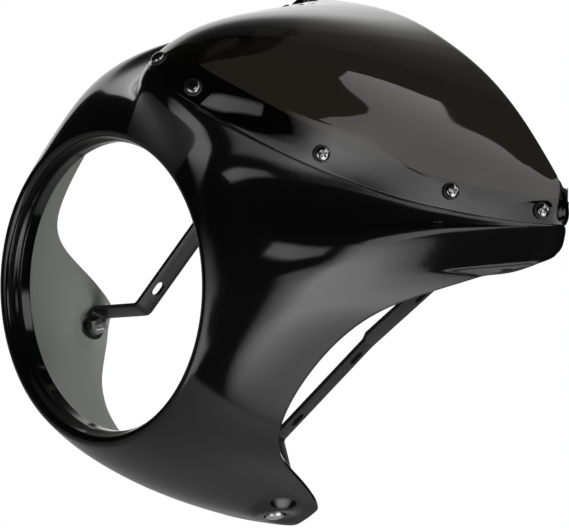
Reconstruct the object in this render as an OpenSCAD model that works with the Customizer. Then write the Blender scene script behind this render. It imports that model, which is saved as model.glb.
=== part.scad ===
// Motorcycle headlight cowl: a moulded shell round the lamp opening, a bubble
// windscreen screwed to its stepped flange, and two bent steel fork brackets.
// Frame in millimetres: origin on the lamp axis at the middle of the bore in the lip,
// +x to the rider's left, -y forward, +z up. The cowl is symmetric about x = 0.

/* [Overall size] */
// Width of the cowl across its widest rear wings
cowl_width = 296; // [260:1:340]
// Depth from the foremost brow to the rear edge of the wings
cowl_depth = 239; // [200:1:280]
// Height from the lowest edge of the chin to the top of the windscreen
cowl_height = 324; // [290:1:360]

/* [Lamp opening] */
// Inside diameter of the turned-in lip that passes the lamp ring
opening_diameter = 180; // [150:1:190]
// Depth of the turned-in lip behind the rim front
lip_depth = 18.5; // [10:0.5:24]
// How much wider the lip is at the rim front than at its rear edge, per side
lip_flare = 2.6; // [0:0.1:4]
// Radius of the rounded rim front
rim_radius = 4.2; // [3.6:0.1:6]

/* [Shell and windscreen] */
// Wall thickness of the moulded shell
wall = 3; // [2.4:0.1:3.4]
// Thickness of the windscreen
screen_thickness = 2.8; // [2:0.1:4]
// Clear gap between the windscreen and the step it sits in
screen_gap = 0.2; // [0.1:0.05:0.4]
// Width of the flange under the windscreen
flange_width = 24.5; // [16:0.5:26]

/* [Windscreen screws] */
// Thread diameter of the screws
screw_diameter = 5; // [4:0.5:6]
// Head diameter of the screws
screw_head = 9; // [8:0.5:12]
// Mean distance of the screws from the lower edge of the windscreen
screw_inset = 10; // [9:0.5:12]

/* [Fork brackets] */
// Width of the bracket strap
strap_width = 14.5; // [12:0.5:18]
// Thickness of the bracket strap
strap_thickness = 3; // [2:0.5:4]
// Length of the long leg of each bracket
strap_leg = 142; // [110:1:150]
// Width of the oblong slots
slot_width = 6.5; // [5:0.5:8]
// Overall length of the oblong slots
slot_length = 10.5; // [9.5:0.5:16]
// Thread diameter of the bracket bolts
bolt_diameter = 6; // [5:0.5:8]
// Head diameter of the bracket bolts
bolt_head = 12; // [10:0.5:15]

/* [Node] */
// Name of the node to show

/* [Hidden] */

// Scales from the reference proportions
ref_width = 296;
ref_depth = 239;
ref_height = 324;
kx = cowl_width/ref_width;
ky = cowl_depth/ref_depth;
kz = cowl_height/ref_height;

// Edge of the shell from the top centre, along the windscreen joint to the rear corner,
// down the wing, along the arch, round the lower tip and under the chin to the centre.
// Each row is x, y, z, start angle and end angle of the section that ends there; the
// angles are measured in the radial plane, from straight outward towards the rear.
edge = [
    [0, -14, 142.5, -6.5, 27.5], [25, -7.5, 141.8, -4, 35], [43.8, 16.3, 136.4, 1, 43],
    [63.2, 42.7, 130.9, 8, 49.5], [73.7, 64.3, 127.8, 12.5, 56], [90.9, 92.8, 125.8, 18, 61],
    [107.4, 122.4, 125.3, 23.5, 65], [126.5, 166.1, 128, 25.5, 69.5], [140, 207.2, 131.7, 27.5, 73.5],
    [142.7, 219.5, 132.7, 28.5, 75.5], [144.8, 222, 126, 28, 76], [146.8, 221.3, 119.5, 27.5, 76.5],
    [147.8, 218, 115.5, 27, 76.5], [148, 213, 111.5, 26.5, 76.5], [147.8, 191.5, 105.3, 27, 76.5],
    [147.3, 167, 101, 28, 75.5], [146.2, 151, 95.2, 29, 74.5], [144.5, 133, 88.2, 31, 73],
    [141, 109.7, 77.2, 33.5, 72], [136, 87, 63, 36, 72], [131, 73, 38, 40, 72],
    [128.5, 64.3, 8, 43, 72], [128, 63, -13.3, 45, 72], [128, 65.8, -28.3, 46, 72],
    [127.3, 74.6, -45, 47, 72], [126, 93, -58, 49, 71], [124.5, 115, -73, 50, 70],
    [122.8, 134, -88, 51, 70], [121.3, 137, -94, 52, 71], [118.8, 137, -100.5, 52, 72],
    [114.5, 135.5, -108.3, 52, 73], [109, 133.8, -114.5, 52, 74], [92, 122, -122, 52, 75],
    [75, 111.5, -128.5, 53, 76], [55, 104, -133, 53, 76], [35, 100, -136, 53, 76], [0, 98, -138, 53, 76]];
edge_last = len(edge) - 1;
corner_knot = 9;
wing_knot = 13;

// Rear edge of the windscreen from its top centre to the rear corner of the joint
arch = [
    [0, 220, 184.8], [25, 220, 184], [50, 220, 180.6], [75, 220, 174.2], [95, 220, 167],
    [112, 220, 160.4], [125, 220, 154.6], [132.5, 220, 149.3], [137.5, 220, 144],
    [140.8, 219.8, 138.2], [142.7, 219.5, 132.7]];
arch_last = len(arch) - 1;
arch_share = 6.5;

// Grid counts
joint_cols = 20;
wing_cols = 4;
lower_cols = 32;
half_cols = joint_cols + wing_cols + lower_cols;
arc_rows = 5;
body_rows = 12;
screen_rows = 16;
// Handle lengths of the section curves, as shares of the chord
handle = 0.36;

// Lamp opening
lip_r = opening_diameter/2;
rim_r = lip_r + lip_flare;
// The lip is moulded slightly small and bored true over this length
lip_stock = 0.6;
bore_length = min(8.4, lip_depth - rim_radius - 2);
bore_front = lip_depth - bore_length;
// The frame sits this far behind the rim front, at the middle of the bore
origin_y = lip_depth - bore_length/2;

// Flat seat for the bracket bolt at each lower tip
seat = [110.8*kx, 113.6*ky, -103.3*kz];
// Width direction of the strap, shared by the whole bracket, and the bolt axis square to it
fold_side = [-0.208, 0.896, -0.392]/norm([-0.208, 0.896, -0.392]);
seat_lean = [0.78, -0.31, -0.54];
seat_square = seat_lean - (seat_lean*fold_side)*fold_side;
seat_dir = seat_square/norm(seat_square);
seat_flat = 11;
seat_blend = 8;

// Fastener sizes
// Place along the joint from centre to corner, and share of the mean inset
screw_line = [[0.083, 0.83], [0.417, 0.98], [0.70, 1.25], [0.867, 0.87]];
head_h = screw_head*0.34;
collar_h = 1.6;
collar_r = screw_head/2 + 0.9;
washer_h = 1;
nut_h = screw_diameter*0.8;
hole_r = screw_diameter/2 + 0.3;
shank_len = collar_h + screen_thickness + screen_gap + wall + washer_h + nut_h + 2.5;
bolt_hole_r = bolt_diameter/2 + 0.3;
grommet_h = 2;
grommet_r = bolt_head/2 + 0.5;
bolt_nut_h = bolt_diameter*0.8;
bolt_washer_h = 1.4;
bolt_washer_r = bolt_diameter + 0.5;
seat_dish = 0.8;
tab_depth = wall + grommet_h;
// Spot-faces cut this much wider than the round parts that sit in them
spot_margin = 0.3;

// ---------- curves ----------
function flip(k) = [for (i = [0:len(k) - 1]) i == 0 ? -k[0] : k[i]];
function scaled(k) = [for (i = [0:len(k) - 1]) i == 0 ? k[0]*kx : i == 1 ? k[1]*ky : i == 2 ? k[2]*kz : k[i]];
function knot(i) = i < 0 ? flip(knot(-i)) : i > edge_last ? flip(knot(2*edge_last - i)) : scaled(edge[i]);
function arch_knot(i) = i < 0 ? flip(arch_knot(-i))
    : i > arch_last ? 2*arch_knot(arch_last) - arch_knot(2*arch_last - i) : scaled(arch[i]);

// Catmull-Rom value between b and c
function blend4(a, b, c, d, t) =
    0.5*(2*b + (c - a)*t + (2*a - 5*b + 4*c - d)*t*t + (3*b - a - 3*c + d)*t*t*t);
function edge_at(u) = let (i = min(max(floor(u), 0), edge_last - 1))
    blend4(knot(i - 1), knot(i), knot(i + 1), knot(i + 2), u - i);
function arch_at(u) = let (i = min(max(floor(u), 0), arch_last - 1))
    blend4(arch_knot(i - 1), arch_knot(i), arch_knot(i + 1), arch_knot(i + 2), u - i);
function bezier(a, b, c, d, t) =
    pow(1 - t, 3)*a + 3*pow(1 - t, 2)*t*b + 3*(1 - t)*t*t*c + t*t*t*d;
function unit(v) = v/norm(v);
function xyz(k) = [k[0], k[1], k[2]];

// ---------- shell ----------
// Column parameter: dense along the joint, then the wing end, then the lower edge
function col_u(j) = j <= joint_cols ? corner_knot*j/joint_cols
    : j <= joint_cols + wing_cols ? corner_knot + (wing_knot - corner_knot)*(j - joint_cols)/wing_cols
    : wing_knot + (edge_last - wing_knot)*(j - joint_cols - wing_cols)/lower_cols;

// Section in a radial plane as [radius, y] points: lip, rounded rim, body
function section(k) = let (
    r = norm([k[0], k[2]]),
    c = [rim_r + rim_radius, rim_radius],
    p0 = c + rim_radius*[sin(k[3]), -cos(k[3])],
    p3 = [r, k[1]],
    h = handle*norm(p3 - p0),
    p1 = p0 + h*[cos(k[3]), sin(k[3])],
    p2 = p3 - h*[cos(k[4]), sin(k[4])])
    concat(
        [[lip_r - lip_stock, lip_depth], [lip_r - lip_stock, bore_front + lip_stock*2]],
        [for (i = [0:arc_rows - 1]) let (a = 180 + (90 + k[3])*i/arc_rows) c + rim_radius*[cos(a), sin(a)]],
        [for (i = [0:body_rows]) bezier(p0, p1, p2, p3, i/body_rows)]);

// Draw points near the bolt onto its flat seat, fading out round it
function fade(t) = let (w = min(max(t, 0), 1)) 1 - w*w*(3 - 2*w);
function pressed(p) = let (
    d = (p - seat)*seat_dir,
    away = norm(p - seat - d*seat_dir),
    w = abs(d) < seat_flat ? fade((away - seat_flat)/seat_blend) : 0)
    p - w*d*seat_dir;

function shell_col(j) = let (k = edge_at(col_u(j)), a = atan2(k[0], k[2]))
    [for (q = section(k)) pressed([q[0]*sin(a), q[1], q[0]*cos(a)])];

half_grid = [for (j = [0:half_cols]) shell_col(j)];
full_cols = 2*half_cols;
last_row = len(half_grid[0]) - 1;
function mirrored(p) = [-p[0], p[1], p[2]];
function wrap(j) = (j + 4*full_cols) % full_cols;
// Columns run from the top centre down the +x side and back up the -x side
function outer(j, i) = let (w = wrap(j))
    w <= half_cols ? half_grid[w][i] : mirrored(half_grid[full_cols - w][i]);
function normal(j, i) = let (
    du = outer(j + 1, i) - outer(j - 1, i),
    dv = outer(j, min(i + 1, last_row)) - outer(j, max(i - 1, 0)))
    unit(cross(du, dv));

// ---------- windscreen ----------
function joint_at(v) = xyz(edge_at(corner_knot*v));
function joint_dir(v) = unit(joint_at(min(v + 0.001, 1)) - joint_at(max(v - 0.001, 0)));
function rise_dir(v) = let (
    k = edge_at(corner_knot*v),
    a = atan2(k[0], k[2]),
    s = [cos(k[4])*sin(a), sin(k[4]), cos(k[4])*cos(a)],
    n = unit(cross(joint_dir(v), s)),
    t = unit(cross(n, joint_dir(v))))
    t[2] < 0 ? -t : t;
function ease(v) = let (w = min(max((v - 0.7)/0.3, 0), 1)) w*w*(3 - 2*w);
function screen_controls(v) = let (
    w = ease(v),
    j = joint_at(v),
    e = arch_at(arch_share*pow(v, 0.9)),
    d0 = v > 0.999 ? unit(arch_at(arch_last - 0.1) - arch_at(arch_last)) : rise_dir(v),
    dq = unit(arch_at(arch_share - 0.05) - arch_at(arch_share + 0.05)),
    d1 = unit((1 - w)*[-0.12*v, 1, -0.02 + 0.1*v] + w*dq),
    h0 = (0.24*(1 - w) + 0.34*w)*norm(e - j),
    h1 = (0.40*(1 - w) + 0.34*w)*norm(e - j))
    [j, j + h0*d0, e - h1*d1, e];
// Control points of the section at v, which is signed: negative on the -x side
function screen_section(v) = v < 0 ? [for (p = screen_controls(-v)) mirrored(p)] : screen_controls(v);
// A section with its neighbours on both sides, for the slope across it
slope = 0.01;
function screen_slice(v) = [screen_section(v), screen_section(max(v - slope, -1)),
    screen_section(min(v + slope, 1))];
function along(c, t) = bezier(c[0], c[1], c[2], c[3], t);
function slice_point(s, t) = along(s[0], t);
function slice_normal(s, t) = unit(cross(
    along(s[2], t) - along(s[1], t),
    along(s[0], min(t + slope, 1)) - along(s[0], max(t - slope, 0))));
// Curve parameters against distance above the joint, and the parameter at one distance
rise_steps = 40;
function rise_table(s) = [for (i = [0:rise_steps]) let (t = i/rise_steps)
    [norm(slice_point(s, t) - s[0][0]), t]];

// Columns shared by the windscreen and the flange under it
slices = [for (j = [-joint_cols:joint_cols]) screen_slice(j/joint_cols)];
rises = [for (s = slices) rise_table(s)];

// ---------- shell solid ----------
// Flange rows for the joint columns: foot of the step, middle and top of the flange
function slice_of(j) = let (w = wrap(j)) (w <= half_cols ? w : w - full_cols) + joint_cols;
flange_rows = 3;
step = screen_thickness + screen_gap;
// The flange narrows towards the rear corners
flange_shares = [[0, 1], [0.45, 1], [0.6, 0.93], [0.8, 0.9], [0.93, 0.7], [1, 0.6]];
// Points of one flange column, a given depth under the outside of the windscreen
function flange_col(n, depth) = let (width = flange_width*lookup(abs(n/joint_cols - 1), flange_shares))
    [for (f = [0:flange_rows]) let (t = lookup(f*width/flange_rows, rises[n]))
        slice_point(slices[n], t) - depth*slice_normal(slices[n], t)];
flange_out = [for (n = [0:2*joint_cols]) flange_col(n, step)];
flange_in = [for (n = [0:2*joint_cols]) flange_col(n, step + wall)];
function has_flange(j) = let (w = wrap(j)) w <= joint_cols || w >= full_cols - joint_cols;

// Per column: outer rows, then flange rows, then the same again for the inner face
col_rows = last_row + 1 + flange_rows + 1;
function inner_row(j, i) = has_flange(j) && i == last_row ? flange_in[slice_of(j)][0]
    : outer(j, i) - wall*normal(j, i);
shell_points = [for (j = [0:full_cols - 1]) each concat(
    [for (i = [0:last_row]) outer(j, i)],
    [for (f = [0:flange_rows]) has_flange(j) ? flange_out[slice_of(j)][f] : outer(j, last_row)],
    [for (i = [0:last_row]) inner_row(j, i)],
    [for (f = [0:flange_rows]) has_flange(j) ? flange_in[slice_of(j)][f] : inner_row(j, last_row)])];
function po(j, r) = wrap(j)*2*col_rows + r;
function pin(j, r) = wrap(j)*2*col_rows + col_rows + r;
function quad(a, b, c, d) = [[a, b, c], [a, c, d]];
f0 = last_row + 1;
function strip(j) = concat(
    [for (i = [0:last_row - 1]) each quad(po(j, i), po(j, i + 1), po(j + 1, i + 1), po(j + 1, i))],
    [for (i = [0:last_row - 1]) each quad(pin(j, i), pin(j + 1, i), pin(j + 1, i + 1), pin(j, i + 1))],
    quad(po(j, 0), po(j + 1, 0), pin(j + 1, 0), pin(j, 0)));
function joint_strip(j) = concat(
    quad(po(j, last_row), po(j, f0), po(j + 1, f0), po(j + 1, last_row)),
    [for (f = [0:flange_rows - 1]) each
        quad(po(j, f0 + f), po(j, f0 + f + 1), po(j + 1, f0 + f + 1), po(j + 1, f0 + f))],
    [for (f = [0:flange_rows - 1]) let (a = f == 0 ? last_row : f0 + f) each
        quad(pin(j, a), pin(j + 1, a), pin(j + 1, f0 + f + 1), pin(j, f0 + f + 1))],
    quad(po(j, f0 + flange_rows), pin(j, f0 + flange_rows),
         pin(j + 1, f0 + flange_rows), po(j + 1, f0 + flange_rows)));
function edge_strip(j) = quad(po(j, last_row), pin(j, last_row), pin(j + 1, last_row), po(j + 1, last_row));
// Closing face at the rear end of the flange; side is 1 on +x and -1 on -x
function flange_end(j, side) = let (faces = concat(
    [[po(j, last_row), pin(j, last_row), po(j, f0)]],
    [for (f = [0:flange_rows - 1]) let (a = f == 0 ? last_row : f0 + f) each
        quad(po(j, f0 + f), pin(j, a), pin(j, f0 + f + 1), po(j, f0 + f + 1))]))
    side < 0 ? faces : [for (f = faces) [f[2], f[1], f[0]]];
shell_faces = concat(
    [for (j = [0:full_cols - 1]) each strip(j)],
    [for (j = [0:full_cols - 1]) each has_flange(j) && has_flange(j + 1) ? joint_strip(j) : edge_strip(j)],
    flange_end(joint_cols, 1),
    flange_end(full_cols - joint_cols, -1));

// ---------- windscreen solid ----------
screen_start = 0.3;
screen_cols = 2*joint_cols;
screen_ts = [for (r = rises) let (t0 = lookup(screen_start, r))
    [for (b = [0:screen_rows]) t0 + (1 - t0)*b/screen_rows]];
screen_points = concat(
    [for (a = [0:screen_cols]) for (t = screen_ts[a]) slice_point(slices[a], t)],
    [for (a = [0:screen_cols]) for (t = screen_ts[a])
        slice_point(slices[a], t) - screen_thickness*slice_normal(slices[a], t)]);
screen_total = (screen_cols + 1)*(screen_rows + 1);
function so(a, b) = a*(screen_rows + 1) + b;
function si(a, b) = screen_total + so(a, b);
screen_faces = concat(
    [for (a = [0:screen_cols - 1]) for (b = [0:screen_rows - 1]) each
        quad(so(a, b), so(a, b + 1), so(a + 1, b + 1), so(a + 1, b))],
    [for (a = [0:screen_cols - 1]) for (b = [0:screen_rows - 1]) each
        quad(si(a, b), si(a + 1, b), si(a + 1, b + 1), si(a, b + 1))],
    [for (a = [0:screen_cols - 1]) each quad(so(a, 0), so(a + 1, 0), si(a + 1, 0), si(a, 0))],
    [for (a = [0:screen_cols - 1]) each
        quad(so(a + 1, screen_rows), so(a, screen_rows), si(a, screen_rows), si(a + 1, screen_rows))],
    [for (b = [0:screen_rows - 1]) each quad(so(0, b + 1), so(0, b), si(0, b), si(0, b + 1))],
    [for (b = [0:screen_rows - 1]) each
        quad(so(screen_cols, b), so(screen_cols, b + 1), si(screen_cols, b + 1), si(screen_cols, b))]);

// ---------- placing ----------
// Rim-front coordinates into the frame of the finished cowl
module place() {
    translate([0, -origin_y, 0])
        children();
}
// Put the children at p with their z axis along n
module stand(p, n) {
    e1 = unit(cross([0.3, 1, 0], n));
    e2 = cross(n, e1);
    multmatrix([[e1[0], e2[0], n[0], p[0]], [e1[1], e2[1], n[1], p[1]],
                [e1[2], e2[2], n[2], p[2]], [0, 0, 0, 1]])
        children();
}
module at_screws() {
    for (side = [-1, 1])
        for (line = screw_line) {
            s = screen_slice(side*line[0]);
            t = lookup(screw_inset*line[1], rise_table(s));
            stand(slice_point(s, t), slice_normal(s, t))
                children();
        }
}
module at_seats() {
    for (side = [-1, 1])
        stand([side*seat[0], seat[1], seat[2]], [side*seat_dir[0], seat_dir[1], seat_dir[2]])
            children();
}

// ---------- moulded parts ----------
module cowl_shell() {
    color([0.03, 0.03, 0.035])
    place()
    difference() {
        polyhedron(points = shell_points, faces = shell_faces, convexity = 12);
        // true bore through the rear of the lip
        translate([0, lip_depth + 1, 0])
            rotate([90, 0, 0])
                cylinder(r = lip_r, h = lip_depth - rim_radius + 1, $fn = 180);
        // screw holes, and flat spot-faces for the washers behind the flange
        at_screws() {
            translate([0, 0, -12])
                cylinder(r = hole_r, h = 14, $fn = 32);
            translate([0, 0, -under_flange - 6])
                cylinder(r = collar_r + spot_margin, h = 6, $fn = 40);
        }
        // bolt holes, spot-faces under the heads and under the grommets
        at_seats() {
            translate([0, 0, -12])
                cylinder(r = bolt_hole_r, h = 16, $fn = 40);
            translate([0, 0, -seat_dish])
                cylinder(r = bolt_head/2 + 1.5, h = 6, $fn = 48);
            translate([0, 0, -wall - 6])
                cylinder(r = grommet_r + spot_margin, h = 6, $fn = 48);
        }
    }
}
module windscreen() {
    color([0.25, 0.24, 0.2, 0.6])
    place()
    difference() {
        polyhedron(points = screen_points, faces = screen_faces, convexity = 8);
        at_screws() {
            translate([0, 0, -12])
                cylinder(r = hole_r, h = 18, $fn = 32);
            cylinder(r = collar_r + spot_margin, h = 3, $fn = 40);
        }
    }
}

// ---------- windscreen fasteners ----------
module pan_head(r, h) {
    rotate_extrude($fn = 40)
        polygon([[0, 0], [r*0.96, 0], [r, h*0.25], [r*0.97, h*0.55], [r*0.86, h*0.8], [r*0.66, h*0.95],
                 [r*0.4, h], [0, h]]);
}
module screen_screws() {
    color([0.06, 0.06, 0.065])
    place()
    at_screws()
        translate([0, 0, collar_h])
            difference() {
                union() {
                    pan_head(screw_head/2, head_h);
                    translate([0, 0, -shank_len])
                        cylinder(d = screw_diameter, h = shank_len + 0.5, $fn = 32);
                }
                // cross recess
                for (a = [0, 90])
                    rotate([0, 0, a])
                        translate([-screw_head*0.27, -0.55, head_h - 1.5])
                            cube([screw_head*0.54, 1.1, 3]);
            }
}
module screen_collars() {
    color([0.05, 0.05, 0.05])
    place()
    at_screws()
        difference() {
            cylinder(r = collar_r, h = collar_h, $fn = 40);
            translate([0, 0, -1])
                cylinder(r = hole_r, h = collar_h + 2, $fn = 32);
        }
}
under_flange = screen_thickness + screen_gap + wall;
module screen_washers() {
    color([0.08, 0.08, 0.08])
    place()
    at_screws()
        translate([0, 0, -under_flange - washer_h])
            difference() {
                cylinder(r = collar_r, h = washer_h, $fn = 40);
                translate([0, 0, -1])
                    cylinder(r = hole_r, h = washer_h + 2, $fn = 32);
            }
}
module screen_nuts() {
    color([0.1, 0.1, 0.1])
    place()
    at_screws()
        translate([0, 0, -under_flange - washer_h - nut_h])
            difference() {
                cylinder(d = screw_diameter*1.85, h = nut_h, $fn = 6);
                translate([0, 0, -1])
                    cylinder(d = screw_diameter, h = nut_h + 2, $fn = 32);
            }
}

// ---------- fork brackets ----------
// The strap is bent in one plane. In that plane the first axis is square to the long leg
// and the second runs up it; the strap's width is along fold_side.
leg_lean = [0.083, 0.416, 0.906];
leg_square = leg_lean - (leg_lean*fold_side)*fold_side;
fold_up = leg_square/norm(leg_square);
fold_out = cross(fold_side, fold_up);
function to_fold(p) = [p*fold_out, p*fold_up];
seat_fold = to_fold(seat);
seat_in = -to_fold(seat_dir);
tab_mid = seat_fold + (tab_depth + strap_thickness/2)*seat_in;
tab_run = [-seat_in[1], seat_in[0]];
tab_up = tab_run[1] > 0 ? tab_run : -tab_run;
tab_low = tab_mid - strap_width*0.62*tab_up;
tab_top = tab_mid + 13*tab_up;
knee = tab_top + [-38.3*kx, 20.7];
// The top of the leg bends slightly outward where the strap widens
leg_dir = [0, 1];
elbow_share = 0.595;
elbow = knee + elbow_share*strap_leg*leg_dir;
end_dir = [sin(5), cos(5)];
leg_end = elbow + (1 - elbow_share)*strap_leg*end_dir;
slot_places = [0.123, 0.51]*strap_leg;
end_slot = 0.32*strap_leg;
strap_mid = seat*fold_side + strap_width*0.14;
// Direction up the tab in space, and its angle in the seat's own plane
tab_up3 = tab_up[0]*fold_out + tab_up[1]*fold_up;
seat_e1 = unit(cross([0.3, 1, 0], seat_dir));
tab_turn = atan2(tab_up3*cross(seat_dir, seat_e1), tab_up3*seat_e1);
// The upper part of the long leg is wider on its front side
wide_extra = 5;
wide_start = strap_leg*elbow_share;
wide_ramp = 5;
bend_r = strap_thickness*1.4;
bend_steps = 5;

function left(d) = [-d[1], d[0]];
function turned(d, a) = [d[0]*cos(a) - d[1]*sin(a), d[0]*sin(a) + d[1]*cos(a)];
// Points round the bend at b, offset by o to the left of the way from a to c
function bend_points(a, b, c, o) = let (
    d1 = unit(b - a),
    d2 = unit(c - b),
    th = atan2(d1[0]*d2[1] - d1[1]*d2[0], d1*d2),
    side = sign(th),
    centre = b - bend_r*tan(abs(th)/2)*d1 + side*bend_r*left(d1))
    [for (i = [0:bend_steps]) centre + (o - side*bend_r)*left(turned(d1, th*i/bend_steps))];
function strap_side(o) = concat(
    [tab_low + o*left(unit(tab_top - tab_low))],
    bend_points(tab_low, tab_top, knee, o),
    bend_points(tab_top, knee, elbow, o),
    bend_points(knee, elbow, leg_end, o),
    [leg_end + o*left(end_dir)]);
function reversed(v) = [for (i = [len(v) - 1:-1:0]) v[i]];

// Frame of the fold: x out, y up the long leg, z along the other two's cross product
fold_z = cross(fold_out, fold_up);
z_turn = sign(fold_z*fold_side);
module in_fold() {
    multmatrix([[fold_out[0], fold_up[0], fold_z[0], 0],
                [fold_out[1], fold_up[1], fold_z[1], 0],
                [fold_out[2], fold_up[2], fold_z[2], 0],
                [0, 0, 0, 1]])
        children();
}
// Frame of a straight run: x along it from p, y through the strap, z forward across it
module in_run(p, d) {
    in_fold()
        translate([p[0], p[1], z_turn*strap_mid])
            rotate([0, 0, atan2(d[1], d[0])])
                children();
}
// Oblong hole through the strap at x = at
module slot_at(at) {
    translate([at, 0, 0])
        rotate([90, 0, 0]) {
            for (e = [-1, 1])
                translate([e*(slot_length - slot_width)/2, 0, -8])
                    cylinder(d = slot_width, h = 16, $fn = 32);
            translate([-(slot_length - slot_width)/2, -slot_width/2, -8])
                cube([slot_length - slot_width, slot_width, 16]);
        }
}
module bracket() {
    half_w = strap_width/2;
    full_w = strap_width + wide_extra;
    difference() {
        in_fold()
            translate([0, 0, z_turn*strap_mid - (z_turn > 0 ? full_w - half_w : half_w)])
                linear_extrude(height = full_w)
                    polygon(concat(strap_side(strap_thickness/2), reversed(strap_side(-strap_thickness/2))));
        // trim the front side back to the plain width below the wide part
        in_run(knee, leg_dir)
            rotate([90, 0, 0])
                linear_extrude(height = 160, center = true)
                    scale([1, -z_turn])
                        polygon([[-120, half_w], [wide_start, half_w],
                                 [wide_start + wide_ramp, half_w + wide_extra],
                                 [wide_start + wide_ramp, half_w + 40], [-120, half_w + 40]]);
        // rounded end of the tab
        stand(seat + (strap_mid - seat*fold_side)*fold_side, seat_dir)
            translate([0, 0, -tab_depth - strap_thickness - 2])
                difference() {
                    rotate([0, 0, tab_turn])
                        translate([-2*strap_width, -strap_width, 0])
                            cube([2*strap_width, 2*strap_width, strap_thickness + 4]);
                    translate([0, 0, -1])
                        cylinder(r = half_w, h = strap_thickness + 6, $fn = 64);
                }
        // bolt hole through the tab
        stand(seat, seat_dir)
            translate([0, 0, -tab_depth - strap_thickness - 4])
                cylinder(r = bolt_hole_r, h = strap_thickness + 8, $fn = 40);
        in_run(knee, leg_dir)
            for (at = slot_places)
                slot_at(at);
        in_run(elbow, end_dir)
            slot_at(end_slot);
    }
}
module bracket_left() {
    color([0.16, 0.16, 0.17])
    place()
    bracket();
}
module bracket_right() {
    color([0.16, 0.16, 0.17])
    place()
    mirror([1, 0, 0])
        bracket();
}
nut_face = tab_depth + strap_thickness;
bolt_len = nut_face - seat_dish + bolt_washer_h + bolt_nut_h + 2.5;
module bracket_bolts() {
    color([0.75, 0.75, 0.76])
    place()
    at_seats()
        translate([0, 0, -seat_dish]) {
            rotate_extrude($fn = 48)
                polygon([[0, 0], [bolt_head/2, 0], [bolt_head/2, 1], [bolt_head*0.42, 2.1],
                         [bolt_head*0.26, 2.9], [0, 3.1]]);
            translate([0, 0, -bolt_len])
                cylinder(d = bolt_diameter, h = bolt_len + 0.5, $fn = 40);
        }
}
module bracket_grommets() {
    color([0.05, 0.05, 0.05])
    place()
    at_seats()
        translate([0, 0, -tab_depth])
            difference() {
                cylinder(r = grommet_r, h = grommet_h, $fn = 48);
                translate([0, 0, -1])
                    cylinder(r = bolt_hole_r, h = grommet_h + 2, $fn = 40);
            }
}
module bracket_washers() {
    color([0.7, 0.7, 0.71])
    place()
    at_seats()
        translate([0, 0, -nut_face - bolt_washer_h])
            difference() {
                cylinder(r = bolt_washer_r, h = bolt_washer_h, $fn = 48);
                translate([0, 0, -1])
                    cylinder(r = bolt_hole_r, h = bolt_washer_h + 2, $fn = 40);
            }
}
module bracket_nuts() {
    color([0.72, 0.72, 0.73])
    place()
    at_seats()
        translate([0, 0, -nut_face - bolt_washer_h - bolt_nut_h])
            difference() {
                cylinder(d = bolt_diameter*1.85, h = bolt_nut_h, $fn = 6);
                translate([0, 0, -1])
                    cylinder(d = bolt_diameter, h = bolt_nut_h + 2, $fn = 40);
            }
}

cowl_shell();
windscreen();
screen_screws();
screen_collars();
screen_washers();
screen_nuts();
bracket_left();
bracket_right();
bracket_bolts();
bracket_grommets();
bracket_washers();
bracket_nuts();
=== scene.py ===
# %% [markdown]
# # A motorcycle headlight cowl
#
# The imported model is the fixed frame. Its origin is on the lamp axis, in the middle of the bore in the
# lip; +X is the rider's left, -Y is forward and +Z is up. Every piece below is a numpy grid worked out
# in millimetres in *rim coordinates*, whose origin is 14.3 mm further forward, at the front of the rim.

# %% Frame
import math
import bmesh
import bpy
import numpy as np
from mathutils import Matrix


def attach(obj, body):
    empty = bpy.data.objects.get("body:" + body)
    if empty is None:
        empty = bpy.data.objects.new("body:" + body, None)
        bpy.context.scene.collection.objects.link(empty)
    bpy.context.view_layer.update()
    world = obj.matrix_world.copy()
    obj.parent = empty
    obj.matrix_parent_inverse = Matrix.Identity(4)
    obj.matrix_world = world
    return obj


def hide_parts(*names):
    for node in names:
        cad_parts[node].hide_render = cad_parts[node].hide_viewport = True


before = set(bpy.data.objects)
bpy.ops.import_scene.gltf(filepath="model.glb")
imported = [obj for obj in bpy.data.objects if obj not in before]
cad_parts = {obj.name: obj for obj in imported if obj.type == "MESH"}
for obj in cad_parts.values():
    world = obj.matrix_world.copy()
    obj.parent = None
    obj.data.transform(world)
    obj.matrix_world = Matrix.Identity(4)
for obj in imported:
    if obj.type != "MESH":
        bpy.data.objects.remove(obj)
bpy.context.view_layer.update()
RIM_TO_FRAME, MM = 14.3, 1000
print("CAD nodes", sorted(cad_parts))

# %% [markdown]
# ## Turning grids into pieces
#
# The cowl is a thin wall that curves both ways. It could be modelled by hand from a cube, but a surface
# that is worked out has no dents, and a wrong size is mended in one number. A surface here is an array of
# points `P[column, row]`. `skin` joins neighbours with quads, and wraps round in either direction on
# request. `piece` puts one or more such parts into one object, in metres, rides it on the root body and
# hides the CAD nodes that it stands for.

# %% Mesh helpers
def unit(v):
    """v / |v| along the last axis."""
    v = np.asarray(v, float)
    return v / np.maximum(np.linalg.norm(v, axis=-1, keepdims=True), 1e-12)


def skin(P, wrap_columns=False, wrap_rows=False):
    """Points of a grid P[column, row] and its quads, as lists, column by column."""
    n, m = P.shape[:2]
    i = np.arange(n if wrap_columns else n - 1)[:, None]
    j = np.arange(m if wrap_rows else m - 1)[None, :]
    a, b = i*m + j, i*m + (j + 1) % m
    c, d = ((i + 1) % n)*m + (j + 1) % m, ((i + 1) % n)*m + j
    return P.reshape(-1, 3), np.stack([a, b, c, d], -1).reshape(-1, 4).tolist()


def outward(points, faces):
    """All faces turned over if the volume, the sum of p0 . (p1 x p2) over fans of triangles, is negative."""
    fans = np.array([(f[0], f[k], f[k + 1]) for f in faces for k in range(1, len(f) - 1)])
    p0, p1, p2 = points[fans].transpose(1, 0, 2)
    return faces if np.sum(p0*np.cross(p1, p2)) > 0 else [f[::-1] for f in faces]


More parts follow.
